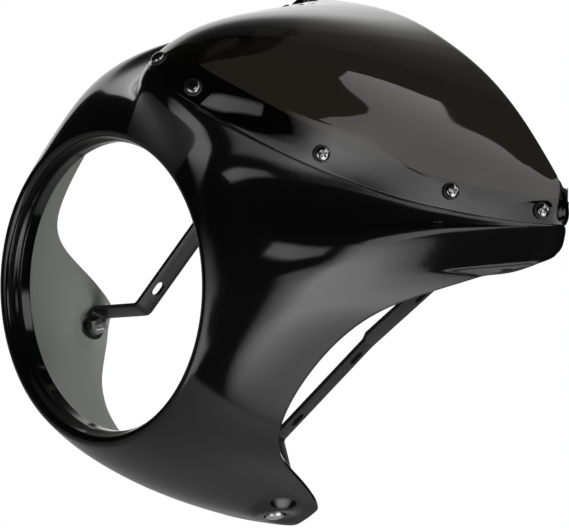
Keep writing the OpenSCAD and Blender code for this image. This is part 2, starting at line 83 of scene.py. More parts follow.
def joined(parts):
    """Several closed (points, faces) pairs as one in row metres, each turned to face outwards."""
    points, faces, start = [], [], 0
    for p, f in parts:
        points.append(p)
        faces += [[k + start for k in q] for q in outward(p, f)]
        start += len(p)
    return (np.vstack(points) - [0, RIM_TO_FRAME, 0])/MM, faces


def piece(name, parts, material, stands_for=(), smooth_angle=34):
    """An object from closed parts in rim millimetres, riding on the root body."""
    points, faces = joined(parts)
    mesh = bpy.data.meshes.new(name)
    mesh.from_pydata(points.tolist(), [], faces)
    mesh.validate()
    mesh.polygons.foreach_set("use_smooth", [True]*len(mesh.polygons))
    mesh.set_sharp_from_angle(angle=math.radians(smooth_angle))
    mesh.materials.append(material)
    obj = bpy.data.objects.new(name, mesh)
    bpy.context.scene.collection.objects.link(obj)
    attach(obj, "root")
    if stands_for:
        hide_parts(*stands_for)
    print(f"{name}: {len(mesh.vertices)} points, {len(mesh.polygons)} faces")
    return obj

# %% [markdown]
# ## The shape of the cowl
#
# The cowl is one moulding, so one closed curve says most of its shape: the outer edge. It runs from the
# top centre along the windscreen joint to the rear corner, down the wing, along the arch, round the lower
# tip and under the chin. Each row below holds a point of it and two angles of the section that ends
# there, measured in the plane through the lamp axis, from straight outward towards the rear. A sculpted
# mesh could have the same shape, but a table of knots keeps each measured point where it was measured.

# %% Design knots
EDGE = np.array([
    (0, -14, 142.5, -6.5, 27.5), (25, -7.5, 141.8, -4, 35), (43.8, 16.3, 136.4, 1, 43),
    (63.2, 42.7, 130.9, 8, 49.5), (73.7, 64.3, 127.8, 12.5, 56), (90.9, 92.8, 125.8, 18, 61),
    (107.4, 122.4, 125.3, 23.5, 65), (126.5, 166.1, 128, 25.5, 69.5), (140, 207.2, 131.7, 27.5, 73.5),
    (142.7, 219.5, 132.7, 28.5, 75.5), (144.8, 222, 126, 28, 76), (146.8, 221.3, 119.5, 27.5, 76.5),
    (147.8, 218, 115.5, 27, 76.5), (148, 213, 111.5, 26.5, 76.5), (147.8, 191.5, 105.3, 27, 76.5),
    (147.3, 167, 101, 28, 75.5), (146.2, 151, 95.2, 29, 74.5), (144.5, 133, 88.2, 31, 73),
    (141, 109.7, 77.2, 33.5, 72), (136, 87, 63, 36, 72), (131, 73, 38, 40, 72),
    (128.5, 64.3, 8, 43, 72), (128, 63, -13.3, 45, 72), (128, 65.8, -28.3, 46, 72),
    (127.3, 74.6, -45, 47, 72), (126, 93, -58, 49, 71), (124.5, 115, -73, 50, 70),
    (122.8, 134, -88, 51, 70), (121.3, 137, -94, 52, 71), (118.8, 137, -100.5, 52, 72),
    (114.5, 135.5, -108.3, 52, 73), (109, 133.8, -114.5, 52, 74), (92, 122, -122, 52, 75),
    (75, 111.5, -128.5, 53, 76), (55, 104, -133, 53, 76), (35, 100, -136, 53, 76),
    (0, 98, -138, 53, 76)], float)
ARCH = np.array([
    (0, 220, 184.8), (25, 220, 184), (50, 220, 180.6), (75, 220, 174.2), (95, 220, 167),
    (112, 220, 160.4), (125, 220, 154.6), (132.5, 220, 149.3), (137.5, 220, 144),
    (140.8, 219.8, 138.2), (142.7, 219.5, 132.7)], float)
CORNER, WING, LAST = 9, 13, len(EDGE) - 1
WALL, SCREEN, GAP = 3.0, 2.8, 0.2
LIP_R, LIP_DEPTH, BORE_FRONT = 90.0, 18.5, 10.1
RIM_R, RIM_ROUND = 92.6, 4.2
print(f"{len(EDGE)} knots on the edge, {len(ARCH)} on the windscreen's arch")

# %% [markdown]
# ## Smooth curves through the knots
#
# Gloss shows every unevenness as a kink in a reflection. A Catmull-Rom curve passes through the knots but
# its bend changes suddenly at each of them, so the curve is sampled finely and smoothed with a Gaussian.
# The second pass adds back most of what the first one shrinks. Past the centre plane the curve goes on as
# its mirror image, which keeps the two halves in line there.

# %% Curves
def smooth(x):
    """3x^2 - 2x^3 on [0, 1], clamped."""
    x = np.clip(x, 0, 1)
    return x*x*(3 - 2*x)


def mirrored(P):
    """(x, y, z) to (-x, y, z)."""
    return P*np.array([-1.0] + [1.0]*(P.shape[-1] - 1))


def between(p, i, t):
    """(2b + (c-a)t + (2a-5b+4c-d)t^2 + (3b-a-3c+d)t^3) / 2, where a to d are rows i - 1 to i + 2 of p."""
    a, b, c, d = p[i - 1], p[i], p[i + 1], p[i + 2]
    return 0.5*(2*b + (c - a)*t + (2*a - 5*b + 4*c - d)*t*t + (3*b - a - 3*c + d)*t**3)


def catmull(table, u, mirrored_end=True):
    """Catmull-Rom curve through a knot table, which goes on as its mirror image or straight past its end."""
    n = len(table) - 1
    tail = mirrored(table[n - 1]) if mirrored_end else 2*table[n] - table[n - 1]
    ext = np.vstack([mirrored(table[1]), table, tail])
    u = np.atleast_1d(np.asarray(u, float))
    i = np.clip(np.floor(u).astype(int), 0, n - 1)
    return between(ext, i + 1, (u - i)[:, None])


def fair(table, width, mirrored_end=True):
    """Samples of a knot table, smoothed twice: S(p) + S(p - S(p)), with a Gaussian as wide as width says."""
    n = len(table) - 1
    pad, per = 3, 40  # knots added at each end, samples for each knot
    u = np.arange(-pad*per, (n + pad)*per + 1)/per
    inside = np.clip(u, 0, n)
    p = catmull(table, inside, mirrored_end)
    low, high = u < 0, u > n
    p[low] = mirrored(catmull(table, -u[low], mirrored_end))
    if mirrored_end:
        p[high] = mirrored(catmull(table, 2*n - u[high], mirrored_end))
    else:
        p[high] = 2*table[n] - catmull(table, 2*n - u[high], mirrored_end)
    sigma = np.interp(u, *width)
    W = np.exp(-0.5*((u[None, :] - u[:, None])/sigma[:, None])**2)
    W /= W.sum(1, keepdims=True)
    first = W @ p
    return u, first + W @ (p - first)


def sampled(curve, u):
    """Catmull-Rom through the fine samples of a faired curve."""
    grid, p = curve
    x = (np.atleast_1d(np.asarray(u, float)) - grid[0])/(grid[1] - grid[0])
    i = np.clip(np.floor(x).astype(int), 1, len(grid) - 3)
    return between(p, i, (x - i)[:, None])


def bezier(P0, P1, P2, P3, t):
    """(1-t)^3 P0 + 3(1-t)^2 t P1 + 3(1-t)t^2 P2 + t^3 P3 for controls P[n] and t[m] or t[n, m]."""
    t = np.asarray(t)[..., None]
    P0, P1, P2, P3 = (p[:, None, :] for p in (P0, P1, P2, P3))
    return (1 - t)**3*P0 + 3*(1 - t)**2*t*P1 + 3*(1 - t)*t*t*P2 + t**3*P3


# the width of the smoothing, in knots, along the edge
SOFT = ([0, 6.5, 8, 9, 13, 14.5, 17, 26.5, 28, 32, 33.5, 36],
        [0.8, 0.8, 0.5, 0.3, 0.3, 0.5, 0.9, 0.9, 0.5, 0.5, 0.8, 0.8])
EDGE_CURVE = fair(EDGE, SOFT)
ARCH_CURVE = fair(ARCH, ([0, 5, 8, 10], [0.7, 0.7, 0.5, 0.3]), False)
half_edge = sampled(EDGE_CURVE, np.linspace(0, LAST, 900))[:, :3]
print(f"half the edge is {np.linalg.norm(np.diff(half_edge, axis=0), axis=1).sum():.0f} mm long")

# %% [markdown]
# ## The outer skin
#
# Each section of the skin starts in the lip, goes over the rounded rim and runs as one Bezier curve to
# the edge, so that nothing bumps on the way. `faired` then evens out the bulges that are left between
# neighbouring sections. A bracket bolt needs a flat seat in each lower tip, so the skin is drawn onto a
# plane there.

# %% Outer skin
SIDE = unit(np.array([-0.208, 0.896, -0.392]))
SEAT = np.array([110.8, 113.6, -103.3])
LEAN = np.array([0.78, -0.31, -0.54])
SEAT_DIR = unit(LEAN - (LEAN @ SIDE)*SIDE)
SEAT_FLAT, SEAT_FADE = 11.0, 8.0
HANDLE, FAIR_REACH = 0.36, 16.0
LIP_ROWS = [(LIP_R, LIP_DEPTH - e) for e in (0.9, 1.8, 3.6, 5.6, 7.4)] + [
    (LIP_R, BORE_FRONT + 0.6), (LIP_R + 0.12, BORE_FRONT - 0.5), (LIP_R + 1.1, BORE_FRONT - 2.5)]


def pressed(P):
    """p - w d SEAT_DIR for height d over a bolt's seat; w falls from 1 at SEAT_FLAT to 0 over SEAT_FADE."""
    for side in (1.0, -1.0):
        m = np.array([side, 1, 1])
        q = P*m - SEAT
        d = q @ SEAT_DIR
        away = np.linalg.norm(q - d[..., None]*SEAT_DIR, axis=-1)
        w = np.where(np.abs(d) < SEAT_FLAT, 1 - smooth((away - SEAT_FLAT)/SEAT_FADE), 0)
        P = (SEAT + q - (w*d)[..., None]*SEAT_DIR)*m
    return P


def faired(P, rim_rows, t):
    """Each row smoothed round the cowl by arc length, S(p) + S(p - S(p)), but not at the lip or the edge."""
    out = P.copy()
    sigma = FAIR_REACH*np.concatenate([np.zeros(len(LIP_ROWS)), np.arange(rim_rows)/rim_rows, 1 - t**3])
    for j in np.nonzero(sigma > 0.5)[0]:
        p = P[:, j]
        seg = np.linalg.norm(np.roll(p, -1, 0) - p, axis=1)
        s = np.concatenate([[0], np.cumsum(seg)[:-1]])
        d = np.abs(s[:, None] - s[None, :])
        d = np.minimum(d, seg.sum() - d)
        W = np.exp(-0.5*(d/sigma[j])**2)*(0.5*(seg + np.roll(seg, 1)))[None, :]
        W /= W.sum(1, keepdims=True)
        first_pass = W @ p
        out[:, j] = first_pass + W @ (p - first_pass)
    return out


def body_rows(u, rim_rows, t):
    """Outer surface P[column, row]: LIP_ROWS, then C + RIM_ROUND (cos, sin) over the rim, then Bezier(t)."""
    k = sampled(EDGE_CURVE, u)
    x, y, z, a0, a1 = k.T
    a0, a1 = np.radians(a0), np.radians(a1)
    r, phi = np.hypot(x, z), np.arctan2(x, z)
    C = np.array([RIM_R + RIM_ROUND, RIM_ROUND])
    P0 = C + RIM_ROUND*np.stack([np.sin(a0), -np.cos(a0)], -1)
    P3 = np.stack([r, y], -1)
    h = HANDLE*np.linalg.norm(P3 - P0, axis=1, keepdims=True)
    P1 = P0 + h*np.stack([np.cos(a0), np.sin(a0)], -1)
    P2 = P3 - h*np.stack([np.cos(a1), np.sin(a1)], -1)
    B = bezier(P0, P1, P2, P3, t)
    s = np.linspace(0, 1, rim_rows, endpoint=False)
    ang = math.pi + s[None, :]*(math.pi/2 + a0[:, None])
    arc = C + RIM_ROUND*np.stack([np.cos(ang), np.sin(ang)], -1)
    lip = np.broadcast_to(np.array(LIP_ROWS), (len(r), len(LIP_ROWS), 2))
    S = np.concatenate([lip, arc, B], 1)
    half = np.stack([S[..., 0]*np.sin(phi)[:, None], S[..., 1], S[..., 0]*np.cos(phi)[:, None]], -1)
    P = np.concatenate([half, mirrored(half)[-2:0:-1]], 0)
    return pressed(faired(P, rim_rows, t))


def loop_normals(P):
    """Unit normals of a grid that closes on itself: the cross product of its slopes across and along."""
    return unit(np.cross(np.roll(P, -1, 0) - np.roll(P, 1, 0), np.gradient(P, axis=1)))


def rounded_edge(P, T, N, depth, radius, steps=5):
    """Quarter circles C + radius (sin a T + cos a N), then C + radius (cos a T - sin a N), round an edge."""
    a = 0.5*math.pi*np.arange(steps + 1)/steps
    c, s = np.cos(a)[:, None], np.sin(a)[:, None]
    outer, inner = P - radius*T - radius*N, P - radius*T - (depth - radius)*N
    T, N = T[:, None], N[:, None]
    return np.concatenate([outer[:, None] + radius*(s*T + c*N), inner[:, None] + radius*(c*T - s*N)], 1)


print(f"lip bore {2*LIP_R:.0f} mm, bolt seats at {np.round(SEAT, 1)}")

# %% [markdown]
# ## The windscreen's surface
#
# The windscreen is a bubble of acrylic, formed hot. Across it, `v` runs from -1 to 1 along the joint; up
# it, `t` runs from the joint to the rear arch. Each section is one Bezier curve that leaves the joint at
# a right angle to it, as the formed sheet does. The flange and the screws use the same function, so they
# follow the sheet by themselves.

# %% Windscreen surface
LOW_HANDLE, HIGH_HANDLE, CORNER_HANDLE = 0.24, 0.40, 0.34
CORNER_FROM, ARCH_SPAN, ARCH_POWER, ARCH_END = 0.7, 6.5, 0.9, len(ARCH) - 1
OUT_TURN, DROP, UP_TURN = 0.12, 0.02, 0.1
STEP = 1e-3


def joint_at(v):
    """Point of the joint and its end angle for |v| <= 1."""
    return sampled(EDGE_CURVE, CORNER*v)


def screen_controls(v):
    """The four control points of the section at v >= 0."""
    v = np.atleast_1d(np.asarray(v, float))
    k = joint_at(v)
    J, a1, phi = k[:, :3], np.radians(k[:, 4]), np.arctan2(k[:, 0], k[:, 2])
    tau = unit(joint_at(np.minimum(v + STEP, 1))[:, :3] - joint_at(np.maximum(v - STEP, 0))[:, :3])
    s = np.stack([np.cos(a1)*np.sin(phi), np.sin(a1), np.cos(a1)*np.cos(phi)], -1)
    n = unit(np.cross(tau, s))
    d0 = unit(np.cross(n, tau))
    d0 = np.where(d0[:, 2:] < 0, -d0, d0)
    w = smooth((v - CORNER_FROM)/(1 - CORNER_FROM))[:, None]
    E = sampled(ARCH_CURVE, ARCH_SPAN*v**ARCH_POWER)
    dq = unit(sampled(ARCH_CURVE, ARCH_SPAN - 0.05) - sampled(ARCH_CURVE, ARCH_SPAN + 0.05))
    d1 = unit((1 - w)*np.stack([-OUT_TURN*v, np.ones_like(v), UP_TURN*v - DROP], -1) + w*dq)
    last = unit(sampled(ARCH_CURVE, ARCH_END - 0.1) - sampled(ARCH_CURVE, ARCH_END))
    d0 = np.where(v[:, None] > 1 - STEP, last, d0)
    L = np.linalg.norm(E - J, axis=1, keepdims=True)
    low, high = (h*(1 - w) + CORNER_HANDLE*w for h in (LOW_HANDLE, HIGH_HANDLE))
    return J, J + low*L*d0, E - high*L*d1, E


def screen_at(v, t):
    """Bezier sections at |v|, mirrored where v < 0, for v[n] and t[n, m] or t[m]."""
    P = bezier(*screen_controls(np.abs(v)), t)
    P[..., 0] *= np.where(v < 0, -1.0, 1.0)[:, None]
    return P


def screen_normal(v, t):
    """Outward unit normals, by differences."""
    e = 0.004
    du = screen_at(np.minimum(v + e, 1), t) - screen_at(np.maximum(v - e, -1), t)
    dv = screen_at(v, np.minimum(t + e, 1)) - screen_at(v, np.maximum(t - e, 0))
    return unit(np.cross(du, dv))


def rise(v, distance):
    """Parameters t at given distances above the joint: distance[m] -> t[n, m]."""
    tt = np.linspace(0, 1, 200)
    P = screen_at(v, np.broadcast_to(tt, (len(v), 200)))
    far = np.linalg.norm(P - P[:, :1], axis=-1)
    distance = np.broadcast_to(distance, (len(v),) + np.shape(distance)[-1:])
    return np.stack([np.interp(d, f, tt) for d, f in zip(distance, far)])


middle = screen_at(np.array([0.0]), np.linspace(0, 1, 50)[None])[0]
print(f"the windscreen's middle line is {np.linalg.norm(np.diff(middle, axis=0), axis=1).sum():.0f} mm long")

# %% [markdown]
# ## Shell
#
# The outer skin, a rounded edge, the inner skin and the rounded rear edge of the lip make one closed
# loop of rows. A Solidify modifier could give the wall too, but it leaves square edges, and the rounded
# ones catch the light in the photograph. The wall is 3 mm, and it thickens towards the joint, where the
# flange that carries the windscreen grows out of it.

# %% Shell
SHELL_EDGE, SCREEN_EDGE, ARCH_ROUND, LIP_ROUND = 0.6, 0.5, 1.1, 0.9
JOINT_EXTRA, EXTRA_FLAT, EXTRA_FADE, EXTRA_END = 3.2, 3.0, 7.0, 0.35
FLANGE_REACH, FLANGE_FOOT, FLANGE_EDGE = 24.5, 2.2, 0.8
SCREEN_LIFT = 0.3


def closed_strip(ring):
    """A strip whose cross-section is the closed loop ring[k], with flat ends."""
    p, f = skin(ring, wrap_rows=True)
    n, m = ring.shape[:2]
    return p, f + [list(range(m))[::-1], [(n - 1)*m + k for k in range(m)]]


def shell_body():
    """The moulding as one torus-like grid, with its count of rows and where its inner rows lie."""
    u = np.concatenate([np.linspace(0, CORNER, 96)[:-1], np.linspace(CORNER, WING, 44)[:-1],
                        np.linspace(WING, LAST, 132)])
    P = body_rows(u, 12, np.linspace(0, 1, 52)**0.9)
    N = loop_normals(P)
    T = unit(P[:, -1] - P[:, -2])
    uu = np.concatenate([u, u[-2:0:-1]])
    joint = 1 - smooth((uu - CORNER)/EXTRA_END)
    along = np.linalg.norm(P - P[:, -1:], axis=-1)
    thick = WALL + JOINT_EXTRA*joint[:, None]*(1 - smooth((along - EXTRA_FLAT)/EXTRA_FADE))
    # the inner skin is seen less, so it has every second row only, and stops short of the rounded edge
    keep = np.r_[np.arange(0, P.shape[1] - 8, 2), P.shape[1] - 6]
    inner = (P - thick[..., None]*N)[:, keep]
    edge = rounded_edge(P[:, -1], T, N[:, -1], thick[:, -1:], SHELL_EDGE)
    back = unit(P[:, 0] - P[:, 1])
    lip = rounded_edge(P[:, 0] + LIP_ROUND*back, back, N[:, 0], WALL, LIP_ROUND)
    grid = np.concatenate([P[:, :-2], edge, inner[:, ::-1], lip[:, :0:-1]], 1)
    first = P.shape[1] - 2 + edge.shape[1]
    return skin(grid, True, True), (grid.shape[1], first - 1, first + inner.shape[1] - 2)


def flange():
    """The step that carries the windscreen; its foot starts inside the thickened wall."""
    v = np.linspace(-1, 1, 181)
    width = FLANGE_REACH*np.interp(np.abs(v), [0, 0.45, 0.6, 0.8, 0.93, 1], [1, 1, 0.93, 0.9, 0.7, 0.6])
    t = rise(v, width[:, None]*np.linspace(0, 1, 12)[None])
    M = screen_normal(v, t)
    out = screen_at(v, t) - (SCREEN + GAP)*M
    tip = unit(out[:, -1] - out[:, -2])
    top = rounded_edge(out[:, -1], tip, M[:, -1], WALL, FLANGE_EDGE)
    foot = out[:, :1] + FLANGE_FOOT*unit(out[:, :1] - out[:, 1:2])
    out = np.concatenate([foot, out[:, :-1]], 1)
    M = np.concatenate([M[:, :1], M[:, :-1]], 1)
    return closed_strip(np.concatenate([out, top, (out - WALL*M)[:, ::-1]], 1))


def screen_sheet():
    """The windscreen, SCREEN_LIFT clear of the shell, with all its edges rounded."""
    v = np.concatenate([[-1, -0.997], np.linspace(-0.99, 0.99, 179), [0.997, 1]])
    t0 = rise(v, np.full((len(v), 1), SCREEN_LIFT))
    t = t0 + (1 - t0)*np.linspace(0, 1, 60)[None]
    P, N = screen_at(v, t), screen_normal(v, t)
    low, high = unit(P[:, 0] - P[:, 1]), unit(P[:, -1] - P[:, -2])
    bottom = rounded_edge(P[:, 0], low, N[:, 0], SCREEN, SCREEN_EDGE)
    top = rounded_edge(P[:, -1], high, N[:, -1], SCREEN, ARCH_ROUND)
    body, inner = P[:, 1:-1], (P - SCREEN*N)[:, 1:-1]
    return closed_strip(np.concatenate([body, top, inner[:, ::-1], bottom[:, ::-1]], 1))


print(f"wall {WALL} mm, windscreen {SCREEN} mm, flange {FLANGE_REACH} mm wide in the middle")

# %% [markdown]
# ## Fasteners and cutters
#
# Eight pan-head screws hold the windscreen and two bolts hold the brackets. Everything round is turned
# on a lathe: a profile of (radius, height) pairs goes round a local z axis, and `stand` carries the local
# points to a place on the cowl with that axis along the surface normal. Holes are cut with solids made
# the same way, so a hole and what goes through it share one axis.

# %% Fasteners
SCREW_LINE = [(0.083, 0.83), (0.417, 0.98), (0.70, 1.25), (0.867, 0.87)]
INSET = 10.0
SCREW_HOLE, BOLT_HOLE, WASHER_R = 2.8, 3.3, 6.5


def turned(profile, sides):
    """Ring grid (r cos a, r sin a, h) of a profile of (r, h) pairs turned about the z axis."""
    r, h = np.array(profile, float).T
    a = 2*math.pi*np.arange(sides)/sides
    return np.stack([r*np.cos(a)[:, None], r*np.sin(a)[:, None], np.broadcast_to(h, (sides, len(h)))], -1)


def lathe(profile, sides=48):
    """A closed solid from a profile that starts and ends on the axis; flat n-gons close its ends."""
    rows = len(profile) - 2
    p, f = skin(turned(profile[1:-1], sides), wrap_columns=True)
    return p, f + [[i*rows for i in range(sides)], [i*rows + rows - 1 for i in range(sides)][::-1]]


def bore(*steps, sides=48):
    """A round cutter through (radius, from, to) steps along its axis."""
    profile = [(r, h) for r, low, high in steps for h in (low, high)]
    return lathe([(0, profile[0][1]), *profile, (0, profile[-1][1])], sides)


def washer_ring(r_in, r_out, h0, h1, bevel, sides=48):
    """A flat ring with bevelled outer and inner edges."""
    profile = [(r_in, h0 + bevel), (r_in + bevel, h0), (r_out - bevel, h0), (r_out, h0 + bevel),
               (r_out, h1 - bevel), (r_out - bevel, h1), (r_in + bevel, h1), (r_in, h1 - bevel)]
    return skin(turned(profile, sides), True, True)


def box(x0, x1, y0, y1, z0, z1):
    """A block between two corners."""
    p = np.array([(x, y, z) for x in (x0, x1) for y in (y0, y1) for z in (z0, z1)], float)
    return p, [[0, 1, 3, 2], [4, 6, 7, 5], [0, 4, 5, 1], [2, 3, 7, 6], [0, 2, 6, 4], [1, 5, 7, 3]]


def stand(part, P, N):
    """Local points to P + x e1 + y e2 + z N, with e1 square to N and (0.3, 1, 0)."""
    e1 = unit(np.cross([0.3, 1, 0], N))
    p, f = part
    return P + p[:, :1]*e1 + p[:, 1:2]*np.cross(N, e1) + p[:, 2:]*N, f


def at_each(part, places):
    """A copy of a local part at each (point, normal)."""
    return [stand(part, *where) for where in places]


def screw_places():
    """Place and normal of the eight windscreen screws."""
    places = []
    for side in (-1, 1):
        for v, share in SCREW_LINE:
            vv = np.array([side*v])
            t = rise(vv, np.array([[INSET*share]]))
            places.append((screen_at(vv, t)[0, 0], screen_normal(vv, t)[0, 0]))
    return places


def seat_places():
    """Place and outward direction of the two bracket seats."""
    return [(SEAT*[s, 1, 1], SEAT_DIR*[s, 1, 1]) for s in (-1, 1)]


def cut(obj, parts):
    """Subtract closed parts, in rim millimetres, from an object."""
    points, faces = joined(parts)
    mesh = bpy.data.meshes.new("cutter")
    mesh.from_pydata(points.tolist(), [], faces)
    tool = bpy.data.objects.new("cutter", mesh)
    bpy.context.scene.collection.objects.link(tool)
    mod = obj.modifiers.new("cut", "BOOLEAN")
    mod.operation, mod.object, mod.solver = "DIFFERENCE", tool, "EXACT"
    bpy.context.view_layer.update()
    result = bpy.data.meshes.new_from_object(obj.evaluated_get(bpy.context.evaluated_depsgraph_get()))
    obj.modifiers.clear()
    old, obj.data = obj.data, result
    result.name = obj.name
    bpy.data.meshes.remove(old)
    bpy.data.objects.remove(tool)
    bpy.data.meshes.remove(mesh)
    obj.data.polygons.foreach_set("use_smooth", [True]*len(obj.data.polygons))
    obj.data.set_sharp_from_angle(angle=math.radians(32))
    print(f"{obj.name}: cut, {len(obj.data.polygons)} faces")


screws, seats = screw_places(), seat_places()
print(f"{len(screws)} screws, {len(seats)} bolt seats")

# %% [markdown]
# ## Fork brackets
#
# Behind each lower tip a flat steel strap takes the cowl to the fork. It is bent from bar with the bend
# lines all parallel, so its middle line lies in one plane. `strap_path` walks that line, and `strap`
# sweeps a rectangle with rounded corners along it. A press punches the slots in the flat bar before it is
# bent; here they are cut afterwards, which is simpler, and each lies in a straight run, so it looks the
# same.

# %% Fork brackets
STRAP_W, STRAP_T, LEG, ELBOW = 14.5, 3.0, 142.0, 0.595
LEG_LEAN = np.array([0.083, 0.416, 0.906])
UP = unit(LEG_LEAN - (LEG_LEAN @ SIDE)*SIDE)
OUT = np.cross(SIDE, UP)
TAB_DEPTH = WALL + 2.0
TAB_RISE, KNEE_SHIFT = 13.0, np.array([-38.3, 20.7])
UPPER_LEAN, WIDER, BEND = math.radians(5), 5.0, 1.4*STRAP_T
SLOT_R, SLOT_HALF, SLOTS_LOW, SLOT_HIGH = 3.25, 2.0, (0.123, 0.51), 0.32
STRAP_ROUND, ASIDE = 0.45, STRAP_W*0.14
ROUND_END, BEND_STEP = [86, 80, 73, 65, 56, 46, 35, 23, 11, 0], 0.09


def to_fold(P):
    """Coordinates (out, up) in the plane of the fold."""
    return np.array([P @ OUT, P @ UP])


def strap_path():
    """Middle line q, unit direction d and half widths (front, back) at each station."""
    seat_in = -to_fold(SEAT_DIR)
    tab_mid = to_fold(SEAT) + (TAB_DEPTH + STRAP_T/2)*seat_in
    run = np.array([-seat_in[1], seat_in[0]])
    tab_up = run if run[1] > 0 else -run
    half = STRAP_W/2
    top = tab_mid + TAB_RISE*tab_up
    knee = top + KNEE_SHIFT
    elbow = knee + np.array([0, ELBOW*LEG])
    end_dir = np.array([math.sin(UPPER_LEAN), math.cos(UPPER_LEAN)])
    rest = (1 - ELBOW)*LEG
    end = elbow + rest*end_dir
    Q, D, W = [], [], []

    def add(q, d, front=half, back=half):
        Q.append(q)
        D.append(d)
        W.append((front, back))

    for th in np.radians(ROUND_END):
        w = half*math.cos(th)
        add(tab_mid - half*math.sin(th)*tab_up, tab_up, w, w)
    # each inner corner of the line becomes an arc of radius BEND
    corners = [tab_mid, top, knee, elbow, end]
    for a, b, c in zip(corners, corners[1:], corners[2:]):
        d1, d2 = unit(b - a), unit(c - b)
        th = math.atan2(d1[0]*d2[1] - d1[1]*d2[0], d1 @ d2)
        side = math.copysign(1, th)
        left = np.array([-d1[1], d1[0]])
        centre = b - BEND*math.tan(abs(th)/2)*d1 + side*BEND*left
        n = max(3, int(abs(th)/BEND_STEP))
        for i in range(n + 1):
            e = th*i/n
            d = np.array([d1[0]*math.cos(e) - d1[1]*math.sin(e), d1[0]*math.sin(e) + d1[1]*math.cos(e)])
            at = centre - side*BEND*np.array([-d[1], d[0]])
            add(at, d, half + (np.clip(at[1] - elbow[1], 0, WIDER) if c is end else 0))
    # the last station is smaller, which gives the square end a narrow chamfer
    for far, shrink in ((5.0, 0.0), (rest - 0.5, 0.0), (rest, 0.5)):
        add(elbow + far*end_dir, end_dir, half + WIDER - shrink, half - shrink)
    return np.array(Q), np.array(D), np.array(W), knee, elbow, end_dir


def strap(mirror):
    """The strap's closed parts and the cutters for its slots and hole."""
    Q, D, W, knee, elbow, end_dir = strap_path()
    mid = SEAT @ SIDE + ASIDE

    def in_space(q, across):
        """q out and up in the plane of the fold, and across it: q0 OUT + q1 UP + (mid + across) SIDE."""
        return q[..., :1]*OUT + q[..., 1:]*UP + (mid + across)[..., None]*SIDE

    outer, ahead = np.repeat([[1, 1, -1, -1], [1, -1, -1, 1]], 4, axis=1)
    a = np.radians([90, 60, 30, 0, 0, 30, 60, 90]*2)
    r = np.minimum(STRAP_ROUND, 0.9*W[:, :1])
    x = outer*(STRAP_T/2 - r + r*np.cos(a))
    y = ahead*(np.where(ahead < 0, W[:, :1], W[:, 1:]) - r + r*np.sin(a))
    left = np.stack([-D[:, 1], D[:, 0]], -1)
    parts = [closed_strip(in_space(Q[:, None] + x[..., None]*left[:, None], y))]

    straight = np.array([0, 1.0])
    half_turn = np.linspace(-90, 90, 13)
    arc = np.radians([half_turn, half_turn + 180])
    x, y = (np.array([[SLOT_HALF], [-SLOT_HALF]]) + SLOT_R*np.cos(arc)).ravel(), SLOT_R*np.sin(arc).ravel()
    tools = []
    for base, d, share in [(knee, straight, low) for low in SLOTS_LOW] + [(elbow, end_dir, SLOT_HIGH)]:
        q = base + (share*LEG + x)[:, None]*d
        through = 2*STRAP_T*np.array([-d[1], d[0]])
        tools.append(closed_strip(in_space(np.array([q - through, q + through]), y)))
    tools.append(stand(bore((BOLT_HOLE, -16, 4), sides=40), SEAT, SEAT_DIR))
    if mirror:
        parts, tools = ([(mirrored(p), f) for p, f in solids] for solids in (parts, tools))
    return parts, tools


print(f"strap {STRAP_W} x {STRAP_T} mm, {len(strap_path()[0])} stations along it")

# %% [markdown]
# ## Shader maths
#
# A finish is a few nodes and some arithmetic between them. `Nodes.add` makes one node from its type, its
# settings and what feeds its sockets. It gives back a `Value`, and + - * on values add the Math nodes, so
# a formula here reads as it does on paper.

# %% Shader maths
class Value:
    """An output socket of a node; + - * on it make Math nodes."""

    def __init__(self, nodes, socket):
        self.nodes, self.socket = nodes, socket

    def __add__(self, other):
        return self.nodes.math("ADD", self, other)

    def __radd__(self, other):
        return self.nodes.math("ADD", other, self)

    def __sub__(self, other):
        return self.nodes.math("SUBTRACT", self, other)

    def __rsub__(self, other):
        return self.nodes.math("SUBTRACT", other, self)

    def __mul__(self, other):
        return self.nodes.math("MULTIPLY", self, other)

    def __rmul__(self, other):
        return self.nodes.math("MULTIPLY", other, self)


class Nodes:
    """A node tree that is being filled."""

    def __init__(self, owner):
        owner.use_nodes = True
        self.tree = owner.node_tree

    def feed(self, socket, item):
        """A link from a Value, or else a plain value, into an input socket."""
        if isinstance(item, Value):
            self.tree.links.new(item.socket, socket)
        else:
            socket.default_value = item

    def add(self, kind, settings=None, inputs=None, output=0):
        """A node of a kind: first its settings, then its inputs by name or number; gives one output."""
        node = self.tree.nodes.new("ShaderNode" + kind)
        for key, value in (settings or {}).items():
            setattr(node, key, value)
        for key, item in (inputs or {}).items():
            self.feed(node.inputs[key], item)
        return Value(self, node.outputs[output]) if node.outputs else None

    def math(self, operation, first, second):
        """A Math node on two values or numbers."""
        return self.add("Math", {"operation": operation}, {0: first, 1: second})

    def noise(self, scale):
        """Noise from 0 to 1 in Object coordinates; scale counts features per metre."""
        place = self.add("TexCoord", output="Object")
        return self.add("TexNoise", inputs={"Vector": place, "Scale": scale, "Detail": 2.0}, output="Fac")


def finish(name, colour, gloss, grain=None, **more):
    """A Principled material with roughness = mean + spread (noise - 0.5), and a bump of noise times depth."""
    mat = bpy.data.materials.new(name)
    nodes = Nodes(mat)
    shader = nodes.tree.nodes["Principled BSDF"]
    mean, spread, scale = gloss
    inputs = {"Base Color": (*colour, 1), "Roughness": mean + spread*(nodes.noise(scale) - 0.5)}
    if grain:
        scale, depth = grain
        inputs["Normal"] = nodes.add("Bump", inputs={"Height": nodes.noise(scale), "Strength": 1.0,
                                                     "Distance": depth/MM}, output="Normal")
    for key, item in (inputs | more).items():
        nodes.feed(shader.inputs[key.replace("_", " ")], item)
    return mat
